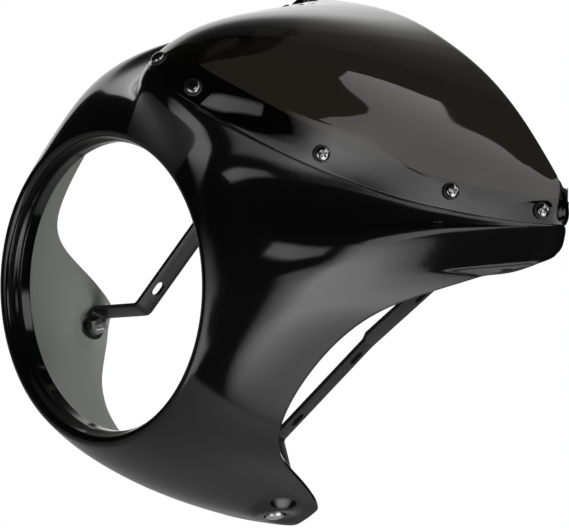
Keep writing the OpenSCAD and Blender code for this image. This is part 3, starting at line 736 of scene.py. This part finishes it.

# %% [markdown]
# ## Materials
#
# The moulding is black gloss plastic outside; its back was never polished, so it is satin. The pale grey
# of its back is painted reflection: the black plastic there shows the white surroundings at a grazing angle.
# The windscreen is smoke-tinted acrylic, coloured by what passes through it, so it needs real
# transmission and not a mix with a transparent shader. The screws are black with a gloss that shines on
# their domes, the straps are dark steel with a satin skin, and the bolts are bright zinc. The gloss of
# each varies a little, because a perfectly even surface looks drawn. `gloss` is (mean, spread, features
# per metre) and `grain` is (features per metre, depth in mm).

# %% Materials
shell_black = finish("shell_black", (0.003, 0.003, 0.0034), (0.1, 0.04, 45), (170, 0.02), IOR=1.5)
# the pale grey base colour of the inner faces is painted reflection of the white surroundings; their satin
# roughness is their own
shell_inside_painted_reflection = finish("shell_inside_painted_reflection", (0.40, 0.415, 0.385), (0.48, 0.12, 60), (900, 0.03), IOR=1.5)
smoke = finish("smoke_tint", (0.0135, 0.0120, 0.0088), (0.035, 0.02, 30), IOR=1.49, Transmission_Weight=1.0)
black_steel = finish("black_steel", (0.02, 0.02, 0.022), (0.3, 0.14, 900), Metallic=0.4)
rubber = finish("black_rubber", (0.018, 0.018, 0.018), (0.62, 0.2, 1200), (2600, 0.04))
strap_steel = finish("strap_steel", (0.028, 0.028, 0.030), (0.34, 0.14, 260), (1500, 0.03), Metallic=0.5)
screw_gloss = finish("screw_gloss", (0.24, 0.24, 0.245), (0.17, 0.08, 1100), Metallic=1.0)
bright_steel = finish("bright_steel", (0.62, 0.62, 0.63), (0.3, 0.16, 1400), Metallic=1.0)
print("materials", [m.name for m in bpy.data.materials])

# %% [markdown]
# ## Shell and windscreen
#
# The shell gets true holes for its screws and bolts, and flat spot-faces where something round sits on
# its curve. The flange is a strip of its own whose foot lies inside the thick wall. The two are put in
# one mesh and not fused, because a boolean along that whole line would break up the smooth gloss.

# %% Shell and windscreen objects
UNDER = SCREEN + GAP + WALL
HEAD_SPACE, SEAT_SINK, SEAT_IN_R, SEAT_OUT_R = 5.7, 0.8, 6.8, 7.5


def merged(target, other):
    """Move the mesh of one object into another."""
    work = bmesh.new()
    work.from_mesh(target.data)
    work.from_mesh(other.data)
    work.to_mesh(target.data)
    work.free()
    mesh = other.data
    bpy.data.objects.remove(other)
    bpy.data.meshes.remove(mesh)


moulding, (rows, first, last) = shell_body()
shell = piece("cowl_shell_look", [moulding], shell_black, ["cowl_shell"], 32)
# the inner faces take the material whose pale grey is painted reflection
shell.data.materials.append(shell_inside_painted_reflection)
inside = [int(first <= k % rows < last) for k in range(len(shell.data.polygons))]
shell.data.polygons.foreach_set("material_index", inside)
# a cutter's first and last heights only have to lie clear of the wall
seat_bore = bore((SEAT_IN_R, -9, -WALL), (BOLT_HOLE, -WALL, -SEAT_SINK), (SEAT_OUT_R, -SEAT_SINK, 6))
cut(shell, at_each(seat_bore, seats))
step = piece("flange_look", [flange()], shell_black, (), 32)
cut(step, at_each(bore((HEAD_SPACE, -12, -UNDER), (SCREW_HOLE, -UNDER, 2)), screws))
merged(shell, step)
screen = piece("windscreen_look", [screen_sheet()], smoke, ["windscreen"], 40)
cut(screen, at_each(bore((SCREW_HOLE, -12, 0), (HEAD_SPACE, 0, 4)), screws))

# %% [markdown]
# ## Screws and collars
#
# A soft collar under each head keeps the acrylic from cracking. The head is a turned dome, and two blocks
# that cross cut the recess into it. A picture of a cross would do from far away, but the recess has to
# catch light on its walls from near. Each screw stopped at its own turn when it was tightened, so the
# crosses differ; eight that line up would look copied.

# %% Screws and collars
HEAD = [(0, 3.06), (0.9, 3.05), (1.8, 2.98), (2.6, 2.84), (3.2, 2.64), (3.7, 2.36), (4.1, 2.0), (4.36, 1.55),
        (4.48, 1.05), (4.5, 0.6), (4.44, 0.22), (4.3, 0.0)]
SHANK = [(2.5, 0.0), (2.5, -13.9), (2.1, -14.3), (0, -14.3)]
COLLAR_R, COLLAR_H = 5.4, 1.6
CROSS_TURNS = [17, 58, 31, 74, 9, 49, 22, 66]


def lifted(part, height):
    """A local part moved up its axis."""
    return part[0] + [0, 0, height], part[1]


def cross_arm(turn):
    """A block for one arm of a cross recess, narrower at its foot, turned about the axis by degrees."""
    p, f = box(-2.5, 2.5, -0.62, 0.62, 1.0, 3.6)
    p[p[:, 2] < 2] *= [0.5, 0.8, 1]
    c, s = math.cos(math.radians(turn)), math.sin(math.radians(turn))
    return p @ np.array([[c, s, 0], [-s, c, 0], [0, 0, 1]]), f


head = lifted(lathe(HEAD + SHANK), COLLAR_H)
heads = piece("screen_screws_look", at_each(head, screws), screw_gloss, ["screen_screws"])
for across in (0, 90):
    cut(heads, [stand(lifted(cross_arm(turn + across), COLLAR_H), *where)
                for where, turn in zip(screws, CROSS_TURNS)])
piece("screen_collars_look", at_each(washer_ring(SCREW_HOLE, COLLAR_R, 0, COLLAR_H, 0.3), screws),
      rubber, ["screen_collars"])

# %% [markdown]
# ## Bolts, grommets and brackets
#
# From outside inwards, each bolt holds the shell, a rubber grommet, the strap and a washer. They all
# stand on the bolt's axis, each at its own height, so they touch without a gap. The second strap is the
# first one mirrored. The washers and nuts behind the flange and the nuts on the bolts are right as they
# come from the CAD model, so they only get their finish.

# %% Bolts, grommets and brackets
BOLT = [(0, 2.3), (2.0, 2.26), (3.6, 2.1), (4.7, 1.8), (5.4, 1.36), (5.85, 0.8), (6.0, 0.2), (6.0, -0.8),
        (3.0, -0.8), (3.0, -17.4), (2.5, -17.9), (0, -17.9)]
WASHER_T = 1.4
piece("bracket_bolts_look", at_each(lathe(BOLT, 64), seats), bright_steel, ["bracket_bolts"])
piece("bracket_grommets_look", at_each(washer_ring(BOLT_HOLE, WASHER_R, -TAB_DEPTH, -WALL, 0.35), seats),
      rubber, ["bracket_grommets"])
face = -TAB_DEPTH - STRAP_T
piece("bracket_washers_look", at_each(washer_ring(BOLT_HOLE, WASHER_R, face - WASHER_T, face, 0.25), seats),
      black_steel, ["bracket_washers"])
for name, right in (("bracket_left", False), ("bracket_right", True)):
    parts, tools = strap(right)
    cut(piece(name + "_look", parts, strap_steel, [name], 32), tools)

for name, look, slot in (("screen_washers", black_steel, "black_steel"),
                         ("screen_nuts", black_steel, "black_steel"),
                         ("bracket_nuts", bright_steel, "bright_steel")):
    node = bpy.data.objects[name]
    node.data.materials.clear()
    node.data.materials.append(look)
print("CAD nodes with a new finish: screen_washers, screen_nuts, bracket_nuts")

# %% [markdown]
# ## Camera
#
# The camera was fitted to the photograph: its rows give the picture's right, down and into-the-picture
# directions, and a focal length of 2600 pixels on a picture 569 wide gives the lens. A Blender camera
# looks along its own -Z with +Y up, so the last two rows change sign.

# %% Camera
ROTATION = np.array([[0.59244026, 0.71719784, 0.36693569], [0.52099869, 0.00631836, -0.85353409],
                     [-0.61447123, 0.69684097, -0.36991589]])
EYE = (1.0506906, -1.0539283, 0.6498535)
SENSOR, FOCAL_PIXELS, PHOTO_WIDTH = 36.0, 2600, 569
scene = bpy.context.scene
camera_data = bpy.data.cameras.new("camera")
camera_data.sensor_width, camera_data.lens = SENSOR, FOCAL_PIXELS*SENSOR/PHOTO_WIDTH
camera_data.clip_end = 100
camera = bpy.data.objects.new("camera", camera_data)
scene.collection.objects.link(camera)
turn = Matrix(np.column_stack([ROTATION[0], -ROTATION[1], -ROTATION[2]]).tolist()).to_4x4()
camera.matrix_world = Matrix.Translation(EYE) @ turn
scene.camera = camera
scene.view_settings.view_transform = "Standard"
print(f"lens {camera_data.lens:.1f} mm, {np.linalg.norm(EYE):.2f} m from the bore")

# %% [markdown]
# ## Floor and background
#
# The photograph is a cut-out on white, so the camera sees plain white all round and through the
# windscreen. The gloss must not see it: a real studio is mostly dark to it, and only its lights shine.
# Mixing two shaders by the kind of ray gives both, without a second scene. The cowl can't stand on
# anything, because it hangs on its lamp and fork, so the floor is far below it.

# %% Floor and background
FLOOR, FLOOR_X, FLOOR_Y = -0.75, (-1.5, 1.3), (-1.3, 1.5)
WHITE = (1, 1, 1, 1)


def white_when_seen(nodes, usual, kind):
    """The usual shader, but plain white of a kind along camera rays and rays through the windscreen."""
    straight = nodes.add("LightPath", output="Is Camera Ray")
    through = nodes.add("LightPath", output="Is Transmission Ray")
    white = nodes.add(kind, inputs={"Color": WHITE, "Strength": 1.0})
    seen = nodes.math("MAXIMUM", straight, through)
    return nodes.add("MixShader", inputs={"Fac": seen, 1: usual, 2: white})


def stage_mesh(name, points, faces, mat):
    """A mesh of the studio, in metres, that isn't part of the object."""
    mesh = bpy.data.meshes.new(name)
    mesh.from_pydata(np.asarray(points, float).tolist(), [], faces)
    mesh.materials.append(mat)
    obj = bpy.data.objects.new(name, mesh)
    scene.collection.objects.link(obj)
    return obj


scene.world = bpy.data.worlds.new("studio")
nodes = Nodes(scene.world)
nodes.tree.nodes.clear()
room = nodes.add("Background", inputs={"Color": (0.015, 0.015, 0.016, 1), "Strength": 1.0})
nodes.add("OutputWorld", inputs={"Surface": white_when_seen(nodes, room, "Background")})

floor_mat = bpy.data.materials.new("floor")
nodes = Nodes(floor_mat)
nodes.tree.nodes.clear()
paint = nodes.add("BsdfPrincipled", inputs={"Base Color": (0.8, 0.8, 0.8, 1), "Roughness": 0.9})
nodes.add("OutputMaterial", inputs={"Surface": white_when_seen(nodes, paint, "Emission")})
(x0, x1), (y0, y1) = FLOOR_X, FLOOR_Y
stage_mesh("floor", [(x0, y0, FLOOR), (x1, y0, FLOOR), (x1, y1, FLOOR), (x0, y1, FLOOR)], [[0, 1, 2, 3]],
           floor_mat)
print(f"floor {FLOOR} m, with a white background")

# %% [markdown]
# ## Lights
#
# Black gloss has hardly any colour of its own: what it shows is its lights. Each light is therefore a net
# of directions seen from the middle of the cowl, with a level at each knot, so that its reflection can
# have a soft edge and a shape. A plain rectangle gives a hard patch with straight sides. The levels ride
# on the mesh as a point attribute that its emission reads, and the camera itself sees no light.

# %% Lights
CENTRE = np.array([0.08, 0.03, 0.09])


def aim(az, el):
    """Unit direction: az from straight ahead towards +X, el upward, in degrees."""
    a, e = np.radians(az), np.radians(el)
    return np.stack([np.sin(a)*np.cos(e), -np.cos(a)*np.cos(e), np.sin(e)], -1)


def finer(net, parts):
    """The net P[k] with parts steps between neighbours: P[k] (1 - w) + P[k + 1] w."""
    t = np.linspace(0, len(net) - 1, (len(net) - 1)*parts + 1)
    k = np.minimum(t.astype(int), len(net) - 2)
    w = (t - k)[:, None, None]
    return net[k]*(1 - w) + net[k + 1]*w


def graded(name, P, level):
    """A light on the grid P, of strength level[k, j] at P[k, j], that the camera doesn't see."""
    mat = bpy.data.materials.new(name)
    nodes = Nodes(mat)
    nodes.tree.nodes.clear()
    strength = nodes.add("Attribute", {"attribute_name": "level"}, output="Fac")
    glow = nodes.add("Emission", inputs={"Color": strength, "Strength": 1.0})
    nodes.add("OutputMaterial", inputs={"Surface": glow})
    p, f = skin(P)
    obj = stage_mesh(name, p, f, mat)
    obj.data.attributes.new("level", "FLOAT", "POINT").data.foreach_set("value", np.ravel(level))
    obj.visible_camera = False
    print(f"light {name}: {len(f)} faces, level up to {np.max(level):.1f}")


def soft_panel(name, lines, levels, far=1.95):
    """A curved light over a net of (az, el) knots seen from CENTRE, its level blended between knots."""
    knots = np.array(lines, float)
    level = np.broadcast_to(np.array(levels, float).reshape(len(lines), -1), knots.shape[:2])
    net = np.concatenate([aim(knots[..., 0], knots[..., 1]), level[..., None]], -1)
    for _ in range(2):
        net = finer(net, 6).transpose(1, 0, 2)
    graded(name, CENTRE + far*unit(net[..., :3]), net[..., 3])


def wall(name, az, far, width, heights, levels):
    """An upright sheet at a distance in direction az, square to it, with a level at each height."""
    towards = aim(az, 0)
    across = np.array([-towards[1], towards[0], 0.0])*width/2
    P = np.array([[far*towards + side*across + [0, 0, z] for z in heights] for side in (-1, 1)])
    graded(name, P, np.array([levels, levels]))


# side light on the rider's left, with a soft front edge
soft_panel("side",
           [[(82, -32), (70, -12), (58, 8), (74, 17), (82, 26), (88, 48)],
            [(85, -32), (74, -12), (66, 8), (81, 17), (85, 26), (91, 48)],
            [(89, -33), (80, -12), (79, 8), (86, 17), (89, 26), (95, 47)],
            [(94, -33), (87, -12), (87, 8), (91, 17), (95, 26), (100, 45)],
            [(106, -33), (104, -12), (103, 8), (104, 17), (105, 26), (107, 43)],
            [(121, -30), (120, -12), (118, 4), (118, 14), (118, 24), (118, 38)]],
           [[0, 0, 0.2, 0, 0, 0], [0.1, 1.2, 1.1, 0.8, 0.8, 0.6], [0.3, 2.8, 1.5, 1.9, 2.2, 1.4],
            [0.5, 4.2, 4.0, 3.8, 3.1, 2.1], [0.5, 3.5, 3.6, 3.2, 2.8, 1.9], [0.3, 1.0, 1.0, 1.0, 1.0, 0.9]],
           far=2.0)
# overhead light: a long strip that ends behind the cowl
soft_panel("over", [[(98, 49), (106, 54), (120, 58), (135, 61), (150, 63), (173, 63), (190, 60), (203, 52)],
                    [(103, 40), (111, 39), (120, 42), (135, 49), (150, 52), (173, 55), (188, 51), (198, 46)]],
           [1.6, 1.9], far=1.9)
# front lights for the brow: a low curved strip and a small patch above it
soft_panel("low",
           [[(46, -9), (40, -6), (32, -2), (18, 8), (2, 15), (-14, 12)],
            [(47, -13), (41, -10), (32, -5), (17, 3), (0, 8), (-16, 4)],
            [(47, -20), (40, -21), (28, -16), (15, -8), (0, -5), (-14, -6)],
            [(47, -24), (40, -29), (28, -34), (15, -37), (0, -37), (-12, -34)],
            [(46, -28), (39, -34), (27, -39), (15, -42), (0, -42), (-12, -38)]],
           [[0, 0, 0, 0, 0, 0], [1.2, 2.4, 2.4, 1.6, 0.8, 0], [1.2, 2.5, 2.5, 2.0, 1.0, 0],
            [1.0, 2.2, 2.5, 2.5, 2.3, 0.6], [0, 0, 0, 0, 0, 0]])
soft_panel("patch",
           [[(34, 50), (46, 53), (60, 52), (80, 49)], [(35, 44), (46, 46), (60, 45), (78, 43)],
            [(35, 33), (48, 32), (58, 30), (76, 35)], [(34, 27), (45, 26), (57, 25), (74, 31)]],
           [[0, 0, 0, 0], [1.5, 1.9, 1.6, 1.2], [1.8, 2.1, 1.8, 1.2], [0, 0, 0, 0]])
# a small light behind, for the turned-in lip
soft_panel("lip",
           [[(124, 45), (142, 48), (160, 47)], [(126, 42), (142, 44), (158, 43)],
            [(128, 28), (142, 28), (156, 32)], [(128, 24), (142, 24), (157, 28)]], [0, 1.9, 1.9, 0])
# a backdrop behind the cowl's right side that darkens upwards
wall("backdrop", -133, 1.7, 1.9, [FLOOR, 0.27, 0.39, 0.50, 0.62, 0.85, 1.3],
     [1, 1, 0.7, 0.35, 0.17, 0.07, 0.04])
